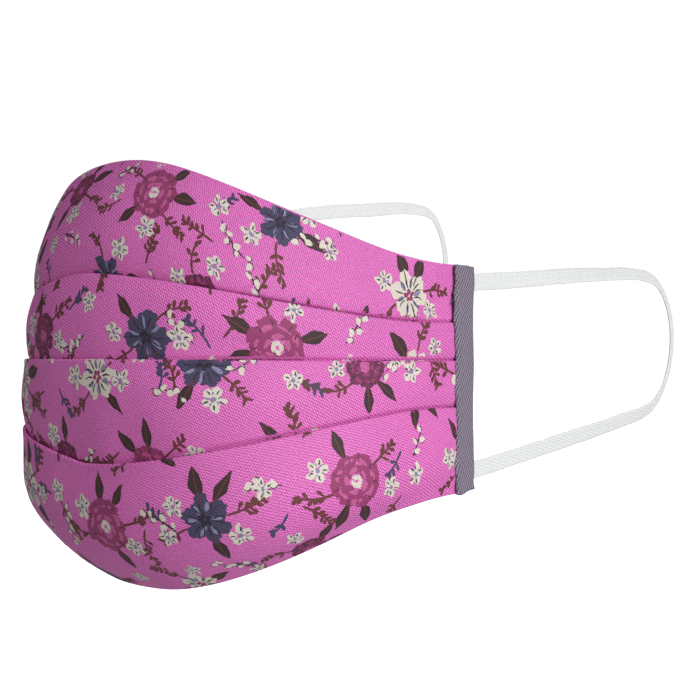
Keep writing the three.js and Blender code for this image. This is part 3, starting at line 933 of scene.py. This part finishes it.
def tape_material():
    nodes = Nodes("binding_tape_twill")
    height, in_mm = weave(nodes, "tape", STRAP_UNIT, 1.0, 1.0, 1.1)
    fine = nodes.noise(in_mm, 3.0, 4.0, 0.6)
    # Colour by the weave's height: painted shade in the grooves, a painted highlight on the ridges, and
    # random yarn tone from the fine noise.
    weave_shade_and_yarn_tone = nodes.math("ADD", nodes.math("MULTIPLY", height, 0.6), nodes.math("MULTIPLY", fine, 0.5))
    shade = nodes.mix(nodes.ramp(weave_shade_and_yarn_tone, 0.3, 0.85), srgb(66, 60, 74), srgb(168, 159, 175))
    nodes.link(shade, nodes.shader.inputs["Base Color"])
    nodes.bump(nodes.math("ADD", height, nodes.math("MULTIPLY", fine, 0.4)), 0.00007)
    nodes.surface(0.8, 0.1, 0.3)
    return nodes.material


grey_tape = tape_material()
for node, name, sign in (
    ("binding_left", "binding_left_tape", 1),
    ("binding_right", "binding_right_tape", -1),
):
    tape = build_tape(name, sign, grey_tape)
    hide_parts(node)


# Flat elastic ear loops: side, back and up, then the band's turn in degrees. The turns at the back are less
# than in the part's source, so that the bands' faces catch the light.
ELASTIC_WIDTH = 5.0
ELASTIC_THICK = 0.8
LOOP_STEPS = 260
LEFT_LOOP = [
    (65.8, 3.6, 23.0, 0), (65.8, 9, 23.0, 0), (65.9, 28, 24.0, 12), (65.3, 52, 25.8, 28),
    (64.3, 72, 26.8, 38), (63.4, 88, 27.1, 38), (62.6, 98.6, 25.0, 34), (62.0, 105.4, 17.5, 30),
    (62.0, 107.6, 6.5, 29), (62.2, 104.6, -5.8, 30), (62.8, 96.8, -14.8, 28), (64.0, 76, -20.1, 16),
    (65.2, 52, -24.5, 8), (65.9, 28, -28.9, 3), (65.8, 9, -32.3, 0), (65.8, 3.6, -32.3, 0),
]
RIGHT_LOOP = [
    (65.8, 3.6, 23.0, 0), (65.8, 9, 23.4, 0), (65.8, 21, 29.0, 0), (65.2, 36, 40.5, 0),
    (63.6, 51, 49.0, 4), (61.5, 66.5, 52.0, 10), (57.5, 84, 53.4, 24), (53.6, 99, 54.5, 34),
    (51.2, 109.4, 52.6, 32), (50.0, 113.8, 45.5, 29), (49.8, 116.0, 34.0, 28), (50.2, 113.6, 22.0, 30),
    (53.0, 103, 9.0, 30), (57.5, 84, -3.5, 22), (62.0, 60, -14.0, 10), (65.3, 34, -24.0, 3),
    (65.8, 11, -31.8, 0), (65.8, 3.6, -32.3, 0),
]


def centripetal(points, steps):
    """A smooth curve through the points that slows at short spans, as the part's source draws it."""
    points = [np.array(p, dtype=float) for p in points]
    ends = [2 * points[0] - points[1], *points, 2 * points[-1] - points[-2]]
    result = []
    for i in range(steps + 1):
        place = i / steps * (len(points) - 1)
        k = min(int(place), len(points) - 2)
        t = place - k
        p0, p1, p2, p3 = ends[k:k + 4]
        d0, d1, d2 = (max(np.linalg.norm(b - a) ** 0.5, 1e-4) for a, b in ((p0, p1), (p1, p2), (p2, p3)))
        m1 = ((p1 - p0) / d0 - (p2 - p0) / (d0 + d1) + (p2 - p1) / d1) * d1
        m2 = ((p2 - p1) / d1 - (p3 - p1) / (d1 + d2) + (p3 - p2) / d2) * d1
        cubic = (2 * p1 - 2 * p2 + m1 + m2) * t ** 3
        square = (3 * p2 - 3 * p1 - 2 * m1 - m2) * t ** 2
        result.append(cubic + square + m1 * t + p1)
    return np.array(result)


def band_section():
    """Outline of the knitted band: rounded sides and a shallow groove between its cords."""
    across = np.linspace(-1.0, 1.0, 41)
    cords = 0.5 + 0.5 * np.cos(across * math.pi * 6.0)
    half = ELASTIC_THICK / 2 * (0.74 + 0.26 * cords) * (1.0 - 0.75 * np.abs(across) ** 10)
    wide = across * ELASTIC_WIDTH / 2
    return np.concatenate([np.stack([wide, half], axis=-1), np.stack([wide, -half], axis=-1)[::-1]])


def build_loop(name, table, sign, material):
    centre = centripetal([(sign * row[0], row[1], row[2]) for row in table], LOOP_STEPS)
    tangent = np.gradient(centre, axis=0)
    tangent /= np.linalg.norm(tangent, axis=-1, keepdims=True)
    place = np.linspace(0.0, len(table) - 1.0, LOOP_STEPS + 1)
    index = np.minimum(place.astype(int), len(table) - 2)
    turns = np.array([row[3] for row in table], dtype=float)
    turn = np.radians(turns[index] + (turns[index + 1] - turns[index]) * smooth(place - index))[:, None]
    across = np.array([1.0, 0.0, 0.0])
    sideways = across - tangent * tangent[:, :1]
    sideways /= np.linalg.norm(sideways, axis=-1, keepdims=True)
    upright = np.cross(tangent, sideways)
    wide = upright * np.cos(turn) + sideways * np.sin(turn)
    thick = np.cross(tangent, wide)
    run = np.concatenate([[0.0], np.cumsum(np.linalg.norm(np.diff(centre, axis=0), axis=-1))])
    section = band_section()
    narrow = 1.0 + 0.02 * np.sin(run / 7.0) + 0.015 * np.sin(run / 2.3)
    points = (centre[:, None, :] + wide[:, None, :] * (section[None, :, :1] * narrow[:, None, None])
              + thick[:, None, :] * section[None, :, 1:])
    places = np.broadcast_arrays(section[None, :, 0] / STRAP_UNIT + 0.1, run[:, None] / STRAP_UNIT)
    uvs = np.stack(places, axis=-1)
    faces = grid_faces(LOOP_STEPS + 1, len(section))
    return make_mesh(name, points.reshape(-1, 3), faces, [material], uvs=uvs.reshape(-1, 2), uv_name="band")


def elastic_material():
    nodes = Nodes("white_elastic_knit")
    height, in_mm = weave(nodes, "band", STRAP_UNIT, 0.0, 1.15, 0.9)
    fine = nodes.noise(in_mm, 4.0, 3.0, 0.6)
    # Colour by the weave's height: painted shade in the grooves, a painted highlight on the ridges, and
    # random yarn tone from the fine noise.
    weave_shade_and_yarn_tone = nodes.math("ADD", nodes.math("MULTIPLY", height, 0.6), nodes.math("MULTIPLY", fine, 0.5))
    shade = nodes.mix(nodes.ramp(weave_shade_and_yarn_tone, 0.2, 0.9), srgb(216, 219, 218), srgb(240, 242, 241))
    nodes.link(shade, nodes.shader.inputs["Base Color"])
    nodes.bump(nodes.math("ADD", height, nodes.math("MULTIPLY", fine, 0.4)), 0.00006)
    nodes.surface(0.7, 0.1, 0.35)
    return nodes.material


white_knit = elastic_material()
for node, name, table, sign in (
    ("ear_loop_left", "ear_loop_left_band", LEFT_LOOP, 1),
    ("ear_loop_right", "ear_loop_right_band", RIGHT_LOOP, -1),
):
    band = build_loop(name, table, sign, white_knit)
    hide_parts(node)


# Stage: a pale floor that is brighter far from the object, and soft light from the wearer's left
FLOOR_DROP = 0.5
FLOOR_HALF = 30.0
FLOOR_NEAR, FLOOR_FAR = 1.1, 2.2


def make_stage():
    half = FLOOR_HALF
    mesh = bpy.data.meshes.new("floor")
    low = float(cad_box[0][2]) - FLOOR_DROP
    mesh.from_pydata([(-half, -half, low), (half, -half, low), (half, half, low), (-half, half, low)],
                     [], [(0, 1, 2, 3)])
    nodes = Nodes("pale_floor")
    place = nodes.add("ShaderNodeTexCoord").outputs["Object"]
    grain = nodes.noise(place, 3.0)
    shade = nodes.mix(grain, (0.80, 0.80, 0.80, 1.0), (0.84, 0.84, 0.84, 1.0))
    nodes.link(shade, nodes.shader.inputs["Base Color"])
    flat = nodes.add("ShaderNodeVectorMath", operation="MULTIPLY")
    flat.inputs[1].default_value = (1.0, 1.0, 0.0)
    nodes.link(place, flat.inputs[0])
    distance = nodes.add("ShaderNodeVectorMath", operation="LENGTH")
    nodes.link(flat.outputs[0], distance.inputs[0])
    seen = nodes.add("ShaderNodeLightPath").outputs["Is Camera Ray"]
    glow = nodes.math("MULTIPLY", nodes.ramp(distance.outputs["Value"], FLOOR_NEAR, FLOOR_FAR), seen)
    nodes.link(glow, nodes.shader.inputs["Emission Strength"])
    nodes.shader.inputs["Emission Color"].default_value = (1.0, 1.0, 1.0, 1.0)
    nodes.surface(0.9, 0.0, 0.2)
    mesh.materials.append(nodes.material)
    floor = bpy.data.objects.new("floor", mesh)
    bpy.context.scene.collection.objects.link(floor)


def sun(name, direction, strength, spread):
    """A soft distant light that shines from a direction towards the object."""
    data = bpy.data.lights.new(name, "SUN")
    data.energy = strength
    data.angle = math.radians(spread)
    light = bpy.data.objects.new(name, data)
    light.rotation_euler = Vector(direction).to_track_quat("Z", "Y").to_euler()
    bpy.context.scene.collection.objects.link(light)


def make_world(light, seen):
    world = bpy.data.worlds.new("pale_room")
    world.use_nodes = True
    tree = world.node_tree
    background = tree.nodes["Background"]
    background.inputs["Color"].default_value = (1.0, 1.0, 1.0, 1.0)
    path = tree.nodes.new("ShaderNodeLightPath")
    strength = tree.nodes.new("ShaderNodeMapRange")
    strength.inputs["To Min"].default_value = light
    strength.inputs["To Max"].default_value = seen
    tree.links.new(path.outputs["Is Camera Ray"], strength.inputs["Value"])
    tree.links.new(strength.outputs["Result"], background.inputs["Strength"])
    bpy.context.scene.world = world


make_stage()
sun("key", (1.0, -0.12, 0.16), 2.8, 30.0)
sun("top", (0.0, -0.4, 1.0), 0.6, 40.0)
make_world(0.15, 1.05)
bpy.context.scene.view_settings.view_transform = "Standard"
